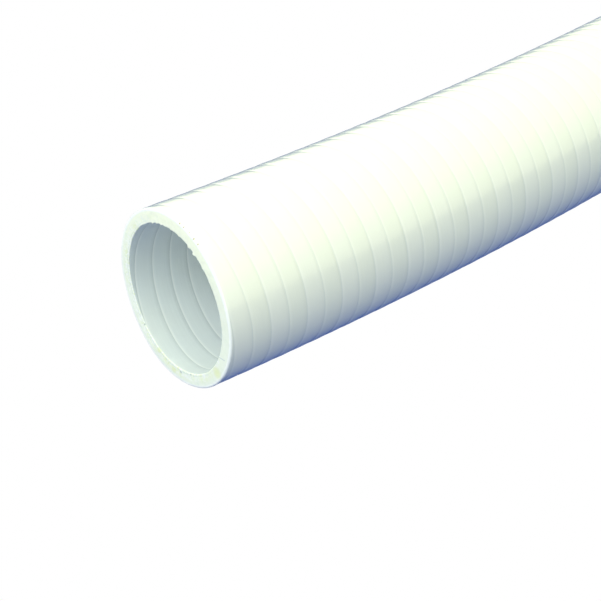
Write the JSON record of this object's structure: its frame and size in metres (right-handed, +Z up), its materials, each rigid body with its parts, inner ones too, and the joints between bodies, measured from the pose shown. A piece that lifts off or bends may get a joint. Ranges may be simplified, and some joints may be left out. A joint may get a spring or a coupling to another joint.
{
  "type": "pvc hose",
  "caption": "Length of white spiral-reinforced flexible PVC hose, open at both square-cut ends, lying in a gentle bow, for carrying water in pool, spa and pump pipework.",
  "frame": {"origin": "centre of the footprint, on the floor that the hose lies on", "axes": "+X along the straight line between the centres of the two cut ends, from the pictured end to the far one; +Z up; the bow's middle lies towards -Y"},
  "size_m": [1.0036, 0.075, 0.05],
  "materials": {
    "white_pvc": "satin white flexible PVC with a faint cream tint and a rigid PVC spiral in the wall"
  },
  "bodies": {
    "root": {"hose": "white_pvc"}
  },
  "joints": []
}
